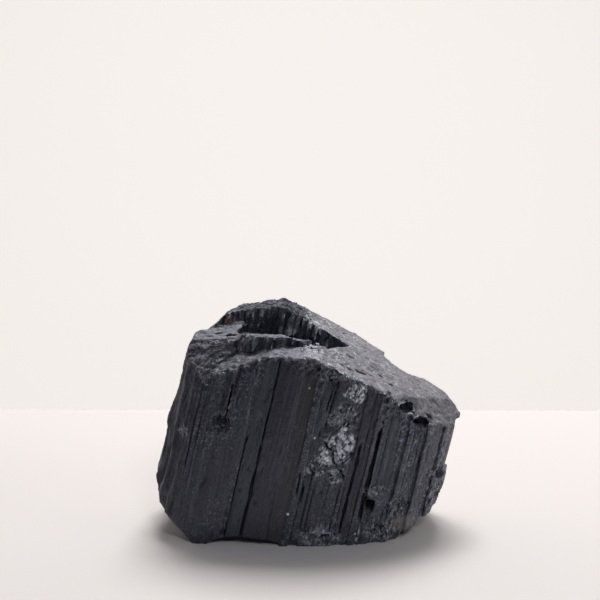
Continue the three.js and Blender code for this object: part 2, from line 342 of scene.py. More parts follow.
# %% Named grooves in the broad face
# x and t of the upper end, x and t of the lower end, half width, depth
GROOVES = [
    (-27.6, 27.0, -27.5, 10.0, 0.16, 0.18),
    (-26.4, 30.5, -26.3, 12.0, 0.2, 0.28),
    (-25.0, 29.5, -24.9, 13.0, 0.2, 0.3),
    (-12.4, 33.5, -12.45, 14.0, 0.11, 0.26),
    (-12.4, 18.0, -12.5, 0.5, 0.2, 0.4),
    (-12.15, 14.0, -12.25, 0.4, 0.5, 0.17),
    (-16.1, 31.5, -15.25, 17.5, 0.11, 0.16),
    (-15.25, 19.5, -15.2, 0.5, 0.19, 0.36),
    (-15.0, 15.0, -14.95, 0.4, 0.45, 0.16),
    (-19.0, 32.2, -19.5, 26.0, 0.42, 0.36),
    (-19.7, 28.6, -19.65, 22.3, 0.16, 0.4),
    (-20.9, 28.0, -21.0, 23.5, 0.12, 0.14),
    (-22.6, 22.0, -22.7, 3.0, 0.14, 0.1),
    (-23.9, 27.0, -24.0, 6.0, 0.16, 0.2),
    (-17.9, 20.5, -17.6, 8.0, 0.15, 0.08),
    (-9.9, 29.5, -10.1, 14.0, 0.14, 0.08),
    (-8.3, 30.5, -7.9, 3.0, 0.16, 0.15),
    (-6.6, 27.0, -6.5, 9.0, 0.13, 0.1),
    (-5.35, 21.0, -5.3, 2.0, 0.16, 0.16),
    (-4.6, 13.4, -4.5, 9.4, 0.2, 0.5),
    (-3.45, 11.0, -3.4, 7.6, 0.18, 0.45),
    (-3.75, 28.0, -3.8, 15.0, 0.16, 0.24),
    (-2.25, 29.2, -2.9, 18.6, 0.16, 0.34),
    (-1.65, 29.2, -2.2, 20.4, 0.16, 0.3),
    (-1.6, 12.5, -1.7, 1.6, 0.14, 0.18),
    (0.9, 12.0, 0.8, 2.0, 0.15, 0.16),
    (2.9, 13.0, 2.7, 1.5, 0.15, 0.22),
    (4.75, 18.0, 4.7, 1.2, 0.27, 0.6),
    (3.75, 27.6, 3.8, 15.0, 0.2, 0.4),
    (5.4, 26.5, 5.5, 16.0, 0.13, 0.12),
    (6.4, 27.0, 6.35, 6.0, 0.14, 0.22),
    (7.6, 22.5, 7.65, 8.0, 0.18, 0.4),
    (9.0, 24.0, 9.1, 9.0, 0.13, 0.08),
    (10.05, 24.0, 10.1, 8.6, 0.15, 0.13),
    (11.3, 22.5, 11.3, 9.0, 0.14, 0.12),
    (11.6, 6.2, 11.7, 0.8, 0.32, 0.3),
    (12.45, 21.0, 12.4, 8.0, 0.26, 0.28),
    (13.9, 20.0, 13.8, 9.0, 0.18, 0.22),
    (15.1, 19.6, 15.0, 10.5, 0.14, 0.14),
    (16.1, 20.0, 16.1, 5.0, 0.22, 0.25),
    (17.7, 20.4, 17.6, 6.0, 0.2, 0.22),
    (19.4, 20.0, 19.3, 4.0, 0.22, 0.22),
    (20.9, 19.5, 20.8, 5.0, 0.18, 0.18),
]
ahead = np.maximum(front, right_flank)
seen = np.maximum(ahead, left_flank)
groove = np.zeros(len(points))
darkness = np.zeros(len(points))
for n, (x_high, t_high, x_low, t_low, half, depth) in enumerate(GROOVES):
    rise = np.clip((t - t_low) / (t_high - t_low), 0, 1)
    line = x_low + (x_high - x_low) * rise + 0.07 * noise(51 + n, t * 0.35)
    width = half * (1 + 0.55 * noise(91 + n, t * 0.8))
    ends_off = ramp(t_low - 0.4, t_low + 1.2, t) * ramp(t_high + 0.3, t_high - 0.9, t)
    cut = np.clip(1 - np.abs(x - line) / width, 0, 1) ** 0.8 * ends_off
    groove = np.maximum(groove, depth * cut)
    # darkness: how much painted shade each groove gets, more for the deeper ones
    darkness = np.maximum(darkness, cut * min(1.0, max(0.0, depth - 0.08) * 3.2))
relief -= groove * seen
print("grooves:", len(GROOVES), "deepest, mm:", round(float(groove.max()), 2))

# %% [markdown]
# Where the crystal has crumbled the break is granular: lumps a millimetre across, made of small flat
# faces that catch the light. The largest such patch lies in a recess right of the middle of the face,
# split by a dark crack. Smaller ones lie along the foot, under the front edge and on the left flank.


# %% Where it has crumbled
def patch(cx, ct, rx, rt, seed, ragged=0.35):
    """1 inside a ragged oval on the broad face, 0 outside."""
    r = np.hypot((x - cx) / rx, (t - ct) / rt) + ragged * rough(seed, points, 1.4, 2)
    return ramp(1.1, 0.85, r)


# middle x and t, half width and height, how far the patch stands out, how much pale grain and painted
# glitter it gets
PATCHES = [
    (0.9, 17.0, 3.1, 3.3, 0.35, 1.0),
    (1.9, 26.9, 1.9, 1.8, 0.25, 1.0),
    (0.9, 22.6, 2.6, 2.4, -0.1, 0.3),
    (-1.9, 13.8, 2.2, 1.3, -0.15, 0.45),
    (2.2, 12.4, 1.6, 1.2, -0.05, 0.35),
    (0.6, 1.6, 4.2, 1.5, 0.0, 0.35),
    (13.9, 6.4, 2.3, 1.6, -0.1, 0.15),
    (12.2, 2.0, 3.2, 1.5, 0.0, 0.25),
    (9.2, 9.4, 1.7, 1.0, 0.05, 0.25),
    (8.9, 25.6, 2.0, 1.1, -0.1, 0.3),
    (-6.4, 31.4, 3.0, 0.7, -0.15, 0.1),
    (-3.2, 30.2, 2.2, 1.0, -0.3, 0.2),
    (4.6, 27.6, 1.6, 0.9, -0.15, 0.25),
    (19.7, 11.0, 1.5, 1.4, -0.2, 0.2),
    (-26.9, 19.4, 1.3, 0.8, 0.0, 0.3),
    (21.2, 6.5, 2.2, 2.5, 0.0, 0.2),
    (7.75, 2.0, 0.55, 1.7, 0.1, 0.8),
]
grain, pale_grain_and_glitter, stand = np.zeros((3, len(points)))
for n, (cx, ct, rx, rt, out, shine) in enumerate(PATCHES):
    inside = patch(cx, ct, rx, rt, 131 + n) * seen
    grain = np.maximum(grain, inside)
    pale_grain_and_glitter = np.maximum(pale_grain_and_glitter, inside * shine)
    stand += inside * out
print("crumbled share:", round(float(grain.mean()), 3))

# %% [markdown]
# Inside a patch the ordinary ribs are wiped out, and two sizes of facets take their place. The lumps of
# the larger size are outlined later in black painted shade. The crack is cut last, so that it runs through
# both, and it gets painted shade later too.

# %% Crumbled grains and their crack
CRACK = np.array([(-1.7, 18.3), (-0.1, 16.7), (0.8, 14.8), (2.3, 13.5), (3.0, 12.3)])
_, from_crack = along_path(x + 0.15 * noise(161, t * 2), t, CRACK)
crack = ramp(0.3, 0.05, from_crack) * front
lumps = grain > 0.01
lump, lump_edge = np.zeros(len(points)), np.ones(len(points))
crumb = np.zeros(len(points))
lump[lumps], lump_edge[lumps] = facets(163, points[lumps], 1.0)
crumb[lumps], _ = facets(171, points[lumps], 0.45)
pale_grain_and_glitter *= np.clip(0.75 + 1.1 * crumb + 0.8 * lump, 0, 1)
relief = relief * (1 - grain) + (0.24 * lump + 0.2 * crumb + stand) * grain - 0.6 * crack
print("crack, share of the skin:", round(float(crack.mean()), 4))

# %% [markdown]
# The terraces broke across the crystal. They are grainy, with a faint lineation that runs down to the
# right, shallow steps, and small pits. The left shoulder is stepped and rougher, and the high block's
# own top is the roughest.

# %% Terraces
downhill = x * 0.96 - y * 0.28
sideways = x * 0.28 + y * 0.96
flake, _ = facets(181, np.stack([downhill * 0.45, sideways, t], 1), 1.25)
above_shelf = t - (36 + 0.3 * x + 0.08 * y) / 0.924
shoulder = ramp(-19.2, -20.6, x) * ramp(-6.0, -6.7, y)
shoulder *= ramp(0.15, 0.5, above_shelf) * ramp(0.2, 0.4, facing[:, 2])
cliff = side * ramp(1.0, 2.0, inset) * ramp(28, 30, t)
block_top = ramp(-6.5, -9.0, x) * ramp(0.5, 1.5, y)
coarse = 0.5 + 0.9 * shoulder + 1.1 * block_top
crumbly = (1 + 1.5 * ramp(-6, -9, x)) * (1 - 0.5 * block_top)
terrace = 0.08 * crumbly * rough(191, np.stack([downhill * 0.35, sideways, t * 0.5], 1), 0.8, 3)
terrace += (0.05 + 0.06 * coarse) * flake + 0.05 * crumbly * rough(195, points, 0.45, 2) * coarse
terrace += 0.14 * rough(197, points, 3.6, 2) * coarse
steps = (t - 0.35 * x) * 0.8 + 0.6 * rough(199, points, 2.6, 2)
relief += 0.12 * shoulder * (ramp(0.5, 0.8, steps - np.floor(steps)) - 0.5)
relief += 0.16 * shoulder * rough(200, np.stack([downhill * 0.4, sideways * 0.8, t * 1.3], 1), 1.1, 3)
pits = ramp(0.55, 0.85, rough(201, np.stack([downhill * 0.4, sideways * 1.4, t], 1), 0.9, 3))
terrace -= 0.16 * pits * (0.5 + 0.5 * coarse)
shelf = top * ramp(-4.0, -6.0, x) * ramp(-6.3, -7.3, y)
crumbs = rough(203, points * [0.7, 1.2, 1], 0.9, 3)
terrace += shelf * (0.22 * crumbs - 0.18 * ramp(0.35, 0.7, crumbs))
print({"terraces": round(float(top.mean()), 3), "shelf": round(float(shelf.mean()), 3)})

# %% [markdown]
# Under the high block and under the ledge the crystal has snapped across its fibres, which stand there
# like a dark palisade. They are facets again, drawn out along the crystal and narrow across it.

# %% Snapped cliffs
FIBRE = np.array([1.7, 1.2, 0.36])  # how closely the facets follow one another along x, y and t
clump = np.zeros(len(points))
block_left = block_top * ramp(-9, -12, x) * ramp(33, 35, t)
broken = np.maximum(cliff, block_left)
snapped = broken > 0.01
clump[snapped], _ = facets(251, points[snapped] * FIBRE, 1.3)
relief += broken * ((0.34 - 0.14 * block_left) * clump + 0.14 * rough(255, points, 0.8, 2))
relief += 0.12 * cliff * rib
relief += terrace * top
print("snapped share:", round(float(snapped.mean()), 3))

# %% [markdown]
# Holes are placed one by one, like the grooves. The small ones lie on the terraces, mostly in a row
# behind the front edge, and are drawn out downhill with ragged rims. Inside, they get painted shade.

# %% Small holes
# x, y and the size of each hole, in crystal coordinates
HOLES = [
    (-3.3, -10.5, 0.3),
    (-1.6, -11.7, 0.45),
    (0.1, -11.8, 0.35),
    (2.2, -10.8, 0.6),
    (4.0, -9.9, 0.3),
    (6.2, -8.1, 0.45),
    (8.3, -9.5, 0.3),
    (16.0, -10.6, 0.35),
    (-24.2, -4.5, 0.4),
    (-21.8, -5.2, 0.5),
]
hollow = np.zeros(len(points))
for n, (hx, hy, size) in enumerate(HOLES):
    r = np.hypot((x - hx) / (2.0 * size), (y - hy) / (0.9 * size))
    r += 0.45 * rough(211 + n, points, 0.9, 3)
    hollow = np.maximum(hollow, ramp(1.0, 0.55, r) * top)
relief -= 0.55 * hollow
print("small holes:", len(HOLES))

# %% [markdown]
# One long hollow runs along the foot of the high block. It and the three deep holes are in the measured
# body already, so here they only get black painted shade inside and the holes get ragged rims.

# %% Deep holes and the long hollow
# x and y along the middle of the long hollow
HOLLOW = np.array([(-21.2, -4.4), (-19.6, -2.2), (-18.2, -1.2), (-16.2, 0.2), (-13.0, 1.4)])
_, from_hollow = along_path(x, y, HOLLOW)
in_hollow = ramp(1.6, 0.9, from_hollow) * ramp(30, 31, t) * ramp(35.0, 34.6, t - 0.2 * (y + 4))
hollow = np.maximum(hollow, in_hollow)

# left, right, low and high side of each deep hole, on x and t
DEEP_HOLES = [(9.5, 13.0, 22.4, 25.2), (12.2, 16.4, 19.5, 22.0), (7.9, 9.7, 5.3, 8.3)]
for n, (left, right, low, high) in enumerate(DEEP_HOLES):
    r = np.hypot((2 * x - left - right) / (right - left), (2 * t - low - high) / (high - low))
    relief += 0.4 * ramp(1.7, 1.2, r) * rough(281 + n, points, 0.8, 2) * side
    hollow = np.maximum(hollow, ramp(1.4, 1.2, r) * ramp(0.35, 0.9, inset) * ramp(0.9, 0.6, facing[:, 2]))

# A soft-edged blotch of painted shade over a shallow dip where the left slot ends
blot = np.hypot((x + 20.3) / 1.6, (t - 21.7) / 1.0) + 0.6 * rough(265, points, 0.7, 3)
blot = ramp(1.25, 0.6, blot) * front
relief -= 0.25 * blot
print("deep holes:", len(DEEP_HOLES))

# %% [markdown]
# The lip between the terraces and the broad face is crumbly and rubbed pale. Then everything that has
# been gathered as relief is carved in one go: each point moves along the way it faces. The base stays
# flat, because the crystal stands on it.

# %% The lip, and carving
brow = ramp(0.06, 0.25, proud_wide) * ramp(-6.5, -8.0, y) * ramp(18, 21, t)
lips = brow > 0.01
flakes = np.zeros(len(points))
flakes[lips], _ = facets(261, points[lips] * [0.6, 1, 1], 0.8)
relief += brow * (0.42 * flakes - 0.08)

facing_out = facing.copy()
facing_out[:, 2] *= 1 - 0.8 * side
carved += unit(facing_out) * relief[:, None]
carved[:, 2] = np.where(on_base, 0, np.maximum(carved[:, 2], 0))
write(skin, carved)
print("relief, mm:", round(float(relief.min()), 2), "to", round(float(relief.max()), 2))

# %% [markdown]
# The finish is worked out with the shape, because both come from the same causes. Terraces and ridges
# are dusty grey, with painted sheen on the terraces; grooves and hollows get black painted shade; and sharp
# edges are rubbed paler. Each of these becomes a value from 0 to 1 for every point of the skin.

# %% Dust and sheen, painted shade, and rub
hollowness = ((spread(carved, 8) - carved) * facing).sum(1)  # positive in hollows
# dust_and_sheen: grey dust on the breaks, and painted sheen that makes the upward terraces pale
dust_and_sheen = top * (0.95 - 0.5 * block_top - 0.2 * block_left - 0.45 * ramp(-7, -10, x) - 0.1 * ramp(-16, -20, x))
dust_and_sheen *= 1 - shelf * (0.12 + 0.5 * ramp(0.15, 0.65, crumbs))
dust_and_sheen = np.maximum(dust_and_sheen, 0.72 * shoulder)
dust_and_sheen *= ramp(-0.9, 0.2, rough(221, points, 2.4)) * 0.45 + 0.55
dust_and_sheen = np.maximum(dust_and_sheen, 0.22 * ridge * (0.5 + 0.5 * rough(225, points, 1.0)))
dust_and_sheen = np.maximum(dust_and_sheen, brow * np.clip(0.35 + 0.9 * flakes, 0, 1))
dust_and_sheen = np.maximum(dust_and_sheen, broken * 0.8 * ramp(0.04, 0.5, clump))
# shade: black painted shade in the grooves, the crack, holes, hollows, the blotch and every dip of the skin
shade = np.clip(darkness * seen + crack + hollow + blot + ramp(0.05, 0.22, hollowness), 0, 1)
# painted shade in the cracks that outline the larger lumps
shade = np.maximum(shade, 0.7 * grain * ramp(0.12, 0.02, lump_edge))
# painted shade in blotches on the pitted left flank
shade = np.maximum(shade, 0.6 * left_flank * ramp(0.1, 0.6, rough(39, points * [1, 1, 0.6], 1.7, 3)))
shade *= 1 - 0.35 * shoulder
# painted shade along the risers of the shoulder's steps
shade = np.maximum(shade, 0.8 * shoulder * ramp(0.12, 0.04, np.abs(steps - np.floor(steps) - 0.5)))
rub = ramp(0.02, 0.12, -hollowness) * side * (1 - 0.7 * left_flank)
print({"dust_and_sheen": round(float(dust_and_sheen.mean()), 3), "shade": round(float(shade.mean()), 3)})

# %% [markdown]
# Fresh ribs are strewn with bright specks, pale grains with painted glints among them, fewer on the two
# smooth bands left of the middle and on the smooth rib beside the slot. The right end and the foot are
# paler altogether.

# %% Specks and paler parts
specks = (0.3 + 0.6 * ramp(-0.3, 0.6, rough(227, points * [1, 1, 0.5], 3.0, 2))) * side
specks *= 1 - 0.6 * ramp(-13.0, -12.4, x) * ramp(-5.2, -5.8, x)
specks *= 1 - 0.6 * ramp(-15.3, -15.0, x) * ramp(-12.4, -12.8, x)
specks += 0.6 * ramp(7.5, 10, x) * ahead + 0.5 * ramp(9, 4, t) * ramp(-9, -3, x) * ahead
pale = ramp(7.5, 9, x) + 0.9 * ramp(8, 3, t) * ramp(-4, 0, x)
pale *= ahead * ramp(-0.5, 0.6, rough(229, points, 1.6))
# painted highlights on the lumps of the cliffs
cliff_glint = cliff * ramp(0.2, 0.5, clump) * ramp(-0.1, 0.5, rough(233, points, 1.2))
pale_grain_and_glitter = np.maximum(pale_grain_and_glitter, 0.7 * cliff_glint)
dull = 0.45 * top * ramp(-7, -10, x) + block_left + 0.7 * shoulder + 0.6 * left_flank + 0.5 * cliff
dull = np.clip(dull, 0, 1)
moss = patch(14.0, 6.3, 2.2, 1.5, 235) * ahead
smooth_rib = ramp(8.1, 8.5, x) * ramp(11.6, 11.1, x) * ramp(9.5, 11.5, t) * ahead
pale *= (1 - 0.8 * moss) * (1 - 0.75 * smooth_rib)
specks *= 1 - 0.65 * smooth_rib
print({"specks": round(float(specks.mean()), 3), "pale": round(float(pale.mean()), 3)})

# %% [markdown]
# A few scratches are streaked with dust, and some single grains flash in the light. A flash is smaller
# than the skin's cells, so the skin only says where one may be, and the material draws it.

# %% Streaks and flashes
# x and t of both ends of the pale streaks
STREAKS = [
    (7.4, 5.0, 8.0, 0.6),
    (-23.7, 16.4, -23.6, 9.0),
    (-22.3, 7.5, -21.8, 4.0),
    (-28.9, 26.9, -28.4, 22.6),
    (6.9, 25.0, 6.9, 14.0),
    (9.9, 20.0, 10.0, 12.0),
]
# x and t, radius and brightness of the painted highlights on single grains
GLINTS = [
    (3.1, 26.5, 0.34, 1.0),
    (1.5, 20.5, 0.42, 1.0),
    (-0.8, 13.5, 0.32, 0.6),
    (1.5, 11.4, 0.3, 0.4),
    (-5.1, 5.8, 0.3, 0.9),
    (-3.5, 19.1, 0.22, 0.6),
    (-6.45, 27.9, 0.22, 0.4),
    (-18.4, 20.7, 0.18, 0.3),
    (-14.9, 30.0, 0.16, 0.2),
    (7.5, 2.1, 0.25, 0.5),
]
streak = np.zeros(len(points))
for x_high, t_high, x_low, t_low in STREAKS:
    _, away = along_path(x, t, np.array([(x_high, t_high), (x_low, t_low)]))
    streak = np.maximum(streak, ramp(0.3, 0.1, away) * side)
streak *= 0.5 + 0.5 * rough(271, points * [1, 1, 0.4], 1.2, 2)
glint = np.zeros(len(points))
for gx, gt, _, _ in GLINTS:
    glint = np.maximum(glint, ramp(1.4, 0.9, np.hypot(x - gx, t - gt)) * front)
dust_and_sheen = np.maximum(dust_and_sheen, 0.5 * streak)
print("streaks:", len(STREAKS), "flashes:", len(GLINTS))

# %% [markdown]
# Whole bands of ribs are bluer, redder or olive. An olive crust and a sandy one sit low on the right
# end, and one rusty grain high on the left.

# %% Coloured bands and crusts
# x of a band's left and right side, then how blue, how olive and how red it is
BANDS = [
    (-21.0, -16.2, 0.1, 0.0, 0.3),
    (-15.0, -12.6, 1.0, 0.0, 0.0),
    (-12.0, -8.2, 0.0, 0.0, 0.7),
    (-7.9, -5.3, 0.0, 1.0, 0.0),
    (-3.7, -2.2, 0.7, 0.0, 0.0),
    (3.7, 6.4, 0.0, 0.1, 0.9),
    (8.1, 11.4, 0.9, 0.0, 0.1),
    (11.4, 13.6, 0.6, 0.0, 0.1),
    (14.0, 24.0, 0.5, 0.0, 0.2),
]
blue, olive, red = np.zeros((3, len(points)))
for left, right, b, o, r in BANDS:
    within = ramp(left - 0.15, left + 0.15, x) * ramp(right + 0.15, right - 0.15, x) * ahead
    blue, olive, red = blue + within * b, olive + within * o, red + within * r
olive += left_flank * 0.5 * ramp(-0.2, 0.5, noise(231, across * 0.9, t * 0.05))
olive += moss
tan = patch(15.9, 2.8, 2.3, 1.4, 241, 0.25) * ahead
rust = np.sqrt(((x + 22.9) / 1.0) ** 2 + ((y + 0.6) / 1.3) ** 2 + ((t - 36.2) / 0.9) ** 2)
rust = ramp(1.1, 0.6, rust + 0.3 * rough(245, points, 0.7, 2))
print("bands:", len(BANDS))

# %% [markdown]
# The values could be painted into pictures, but the skin is fine enough to hold them itself, one number
# for each point and each name. The material asks for them by name.

# %% Write the values on the skin
VALUES = {
    "dust_and_sheen": dust_and_sheen,
    "shade": shade,
    "rub": rub,
    "specks": specks,
    "pale_grain_and_glitter": pale_grain_and_glitter,
    "grain": grain,
    "blue": blue,
    "olive": np.clip(olive, 0, 1),
    "red": red,
    "tan": tan,
    "rust": rust,
    "glint": glint,
    "pale": pale,
    "dull": dull,
}
for name, values in VALUES.items():
    layer = skin.attributes.new(name, "FLOAT", "POINT")
    layer.data.foreach_set("value", np.clip(values, 0, 1).astype(np.float32))
print({name: round(float(v.mean()), 3) for name, v in VALUES.items()})

# %% [markdown]
# The skin is then thinned. Triangles merge where the surface is flat and stay small where it is not, so
# the detail survives in a piece light enough to handle. It goes back to its leaning place at the end.

# %% Thin the skin and put it in place
TRIANGLES = 196000
SHARP = 42  # degrees between two faces, past which their edge is kept crisp
crystal.data = with_modifier(crystal, "TRIANGULATE")
kept = min(1.0, TRIANGLES / len(crystal.data.polygons))
crystal.data = with_modifier(crystal, "DECIMATE", ratio=kept)
skin = crystal.data
skin.name = "crystal"
write(skin, to_frame(read(skin)))
for face in skin.polygons:
    face.use_smooth = True
skin.set_sharp_from_angle(angle=math.radians(SHARP))
print("triangles:", len(skin.polygons))

# %% [markdown]
# The crystal also gets a flat map of its skin, for painting its colours into one picture later. It is
# laid out like an unfolded box: front, back, top, bottom, left and right, each seen squarely.

# %% Unfold the skin
# corner of each side on the map, then which way it looks, which way is right and which way is up, mm
SHEETS = [
    ((2, 2), (0, -1, 0), (1, 0, 0), (0, 0, 1)),
    ((61, 2), (0, 1, 0), (-1, 0, 0), (0, 0, 1)),
    ((2, 43), (0, 0, 1), (1, 0, 0), (0, 1, 0)),
    ((2, 80), (0, 0, -1), (1, 0, 0), (0, -1, 0)),
    ((61, 43), (-1, 0, 0), (0, -1, 0), (0, 0, 1)),
    ((61, 84), (1, 0, 0), (0, 1, 0), (0, 0, 1)),
]
# the cliffs of the ledge and of the high block stand behind the front face, so each has its own place
LEDGE_CLIFF = ((96, 43), (0, -1, 0), (1, 0, 0), (0, 0, 1))
BLOCK_CLIFF = ((96, 62), (0, -1, 0), (1, 0, 0), (0, 0, 1))
SHEET_SIZE = 124.0
CLIFF_FOOT = 28  # t above which a wall that looks forward may be one of the two cliffs
LEDGE_FRONT = -12  # y of the foremost place on the ledge's cliff
BLOCK_FRONT = -4  # y of the foremost place on the high block's cliff
MAP_SOFTENING = 30  # rounds; without it, every small facet would be cut out on its own
edge_a, edge_b = edge_ends(skin)
corners = np.empty(len(skin.loops), np.int32)
skin.loops.foreach_get("vertex_index", corners)
looks = spread(directions(), MAP_SOFTENING)[corners].reshape(-1, 3, 3).sum(1)
places = (read(skin) / MM)[corners]
sheet = np.argmax(looks @ np.array([row[1] for row in SHEETS], float).T, 1)
_, back, up_rib = to_crystal(read(skin))[corners].reshape(-1, 3, 3).mean(1).T
behind = (sheet == 0) & (up_rib > CLIFF_FOOT) & (back > LEDGE_FRONT)
sheet[behind] = len(SHEETS) + (back[behind] > BLOCK_FRONT)
sheet = sheet.repeat(3)
flat = np.zeros((len(corners), 2))
for n, (corner, _, right, up) in enumerate([*SHEETS, LEDGE_CLIFF, BLOCK_CLIFF]):
    own = sheet == n
    if not own.any():
        continue
    spots = places[own] @ np.array([right, up], float).T
    flat[own] = (spots - spots.min(0) + corner) / SHEET_SIZE
    print("sheet", n, "reaches", np.round(flat[own].max(0), 3))
skin.uv_layers.new(name="OFBake", do_init=False).uv.foreach_set("vector", flat.astype(np.float32).ravel())

# %% [markdown]
# The finish is one black mineral. It is dark, slightly bluish and glossy where it is fresh, and dust and
# broken grain make it paler and duller; painted sheen, painted glitter and painted shade are laid on it
# too.
# It could be painted by hand, but a chain of nodes that reads the values on the skin stays sharp at any
# distance. Each kind of link in the chain gets a short helper.

# %% Helpers for the finish
finish = bpy.data.materials.new("black_tourmaline")
finish.use_nodes = True
shader = finish.node_tree.nodes["Principled BSDF"]


def node(kind, **settings):
    made = finish.node_tree.nodes.new(kind)
    for name, setting in settings.items():
        setattr(made, name, setting)
    return made


def plug(source, socket):
    """Set a socket to a number, a colour or a direction, or join another node's output to it."""
    if isinstance(source, tuple):
        socket.default_value = (*source, 1)[: len(socket.default_value)]
    elif isinstance(source, (int, float)):
        socket.default_value = source
    else:
        finish.node_tree.links.new(source, socket)


def value(name):
    """One of the values that are kept on the skin."""
    return node("ShaderNodeAttribute", attribute_name=name).outputs["Fac"]


# %% [markdown]
# The rest of the helpers do sums. `maths` works on numbers, `vectors` on places and directions, `mix` on
# colours, and `remap` turns one range of numbers smoothly into another.


# %% Sums for the finish
def maths(operation, a, b):
    made = node("ShaderNodeMath", operation=operation)
    plug(a, made.inputs[0])
    plug(b, made.inputs[1])
    return made.outputs[0]


def vectors(operation, a, b):
    made = node("ShaderNodeVectorMath", operation=operation)
    plug(a, made.inputs[0])
    plug(b, made.inputs[1])
    return made.outputs["Value" if operation == "DOT_PRODUCT" else "Vector"]


def mix(share, a, b):
    """Colour a where the share is 0, colour b where it is 1."""
    made = node("ShaderNodeMix", data_type="RGBA")
    for index, source in ((0, share), (6, a), (7, b)):
        plug(source, made.inputs[index])
    return made.outputs[2]


def remap(source, low, high, to_low=0.0, to_high=1.0):
    """The same smooth ramp as the carver's, between any two values."""
    made = node("ShaderNodeMapRange", interpolation_type="SMOOTHSTEP")
    plug(source, made.inputs["Value"])
    for name, number in zip(("From Min", "From Max", "To Min", "To Max"), (low, high, to_low, to_high)):
        made.inputs[name].default_value = number
    return made.outputs["Result"]


# %% [markdown]
# Patterns that are too fine for the skin are read from the place of a point. Those that belong to the
# ribs are read upright, with the lean taken out, and drawn out along the ribs. Grit, chips and clouds
# are the same in every direction. The three numbers of a pattern say how many lumps go to a metre.


# %% Fine patterns
def texture(vector, lumps, detail, roughness=0.6):
    made = node("ShaderNodeTexNoise")
    plug(vectors("MULTIPLY", vector, lumps), made.inputs["Vector"])
    for name, number in (("Scale", 1.0), ("Detail", detail), ("Roughness", roughness)):
        made.inputs[name].default_value = number
    return made.outputs["Fac"]


def crystals(vector, lumps):
    """Small cells: a random number for each, the height of its tilted plane, the way to its middle."""
    scaled = vectors("MULTIPLY", vector, lumps)
    made = node("ShaderNodeTexVoronoi")
    plug(scaled, made.inputs["Vector"])
    made.inputs["Scale"].default_value = 1.0
    away = vectors("SUBTRACT", scaled, made.outputs["Position"])
    tilt = vectors("SUBTRACT", made.outputs["Color"], (0.5, 0.5, 0.5))
    number = maths("MULTIPLY", made.outputs["Color"], 1.0)
    return number, vectors("DOT_PRODUCT", away, tilt), made.outputs["Distance"]


place = node("ShaderNodeTexCoord").outputs["Object"]
split_place = node("ShaderNodeSeparateXYZ")
plug(place, split_place.inputs[0])
lean = node("ShaderNodeCombineXYZ")
for axis, travel in zip("XY", LEAN):
    plug(maths("MULTIPLY", split_place.outputs["Z"], float(travel)), lean.inputs[axis])
upright = vectors("SUBTRACT", place, lean.outputs[0])

striae = texture(upright, (3200, 3200, 110), 3.0)
bands = texture(upright, (900, 900, 25), 2.0)
streaks = texture(upright, (2400, 2400, 60), 2.0)
grains, planes, _ = crystals(upright, (3400, 3400, 2600))
chips, chip_planes, _ = crystals(place, (1500, 1500, 1500))
dots, _, from_dot = crystals(upright, (1700, 1700, 1300))
grit = texture(place, (3000, 3000, 3000), 4.0, 0.7)
clouds = texture(place, (260, 260, 260), 3.0)
print("nodes for the patterns:", len(finish.node_tree.nodes))

# %% [markdown]
# The colour is built up in layers, as paint is. The first layers are the dark body: two blacks in
# stripes, furrows and pits in painted shade, grit and specks with painted glints among them, the coloured
# bands, the rubbed ridges, and the paler right end.

# %% Colour of the dark body
BLACK = (0.0062, 0.0068, 0.0120)
LIGHTER_BLACK = (0.0152, 0.0160, 0.0258)
PAINTED_FURROW_SHADE = (0.0020, 0.0020, 0.0030)
GRIT = (0.122, 0.130, 0.163)
PAINTED_PIT_SHADE = (0.0030, 0.0030, 0.0045)
BLUISH = (0.0175, 0.0240, 0.0315)
REDDISH = (0.0120, 0.0095, 0.0165)
OLIVE = (0.0165, 0.0152, 0.0080)
RUBBED = (0.05, 0.054, 0.075)
SPECK_AND_GLINT = (0.13, 0.135, 0.165)
PALE = (0.29, 0.30, 0.355)

body = mix(remap(bands, 0.35, 0.65), BLACK, LIGHTER_BLACK)
# furrows too fine to cut, darkened with painted shade
body = mix(remap(streaks, 0.56, 0.70, 0.0, 0.8), body, PAINTED_FURROW_SHADE)
body = mix(maths("MULTIPLY", remap(grit, 0.50, 0.62), value("specks")), body, GRIT)
# pits too small to cut, darkened with painted shade
body = mix(maths("MULTIPLY", remap(chips, 0.34, 0.20), value("specks")), body, PAINTED_PIT_SHADE)
body = mix(maths("MULTIPLY", value("blue"), 0.75), body, BLUISH)
body = mix(maths("MULTIPLY", value("red"), 0.6), body, REDDISH)
body = mix(maths("MULTIPLY", value("olive"), remap(bands, 0.4, 0.6, 0.1, 0.8)), body, OLIVE)
body = mix(maths("MULTIPLY", value("rub"), remap(grit, 0.35, 0.65, 0.1, 0.6)), body, RUBBED)
# bright specks: pale grains and painted glints
speckled = maths("MULTIPLY", remap(dots, 0.66, 0.80), remap(from_dot, 0.34, 0.16))
body = mix(maths("MULTIPLY", speckled, value("specks")), body, SPECK_AND_GLINT)
paler = maths("MULTIPLY", value("pale"), remap(grains, 0.45, 0.95, 0.0, 0.9))
body = mix(maths("MULTIPLY", paler, remap(striae, 0.38, 0.56, 0.4, 1.0)), body, PALE)

# %% [markdown]
# Over the body come the broken grains with their painted glitter, the dust and painted sheen of the
# terraces, the sandy and rusty spots, the black painted shade of grooves and hollows, and last the painted
# highlights of the few single grains that flash. A spot's edge is made ragged by adding a little grit to
# the square of the distance from its middle.

# %% Colour of grains and glitter, dust and sheen, and painted shade
FACET_AND_GLITTER = (0.80, 0.82, 0.92)
PAINTED_GLINT = (0.95, 0.95, 0.97)
DUST_AND_SHEEN = (0.315, 0.300, 0.320)
SAND = (0.225, 0.200, 0.195)
PAINTED_SHADE = (0.0025, 0.0025, 0.003)
RUST = (0.27, 0.165, 0.150)
FLASH = (0.85, 0.87, 0.92)

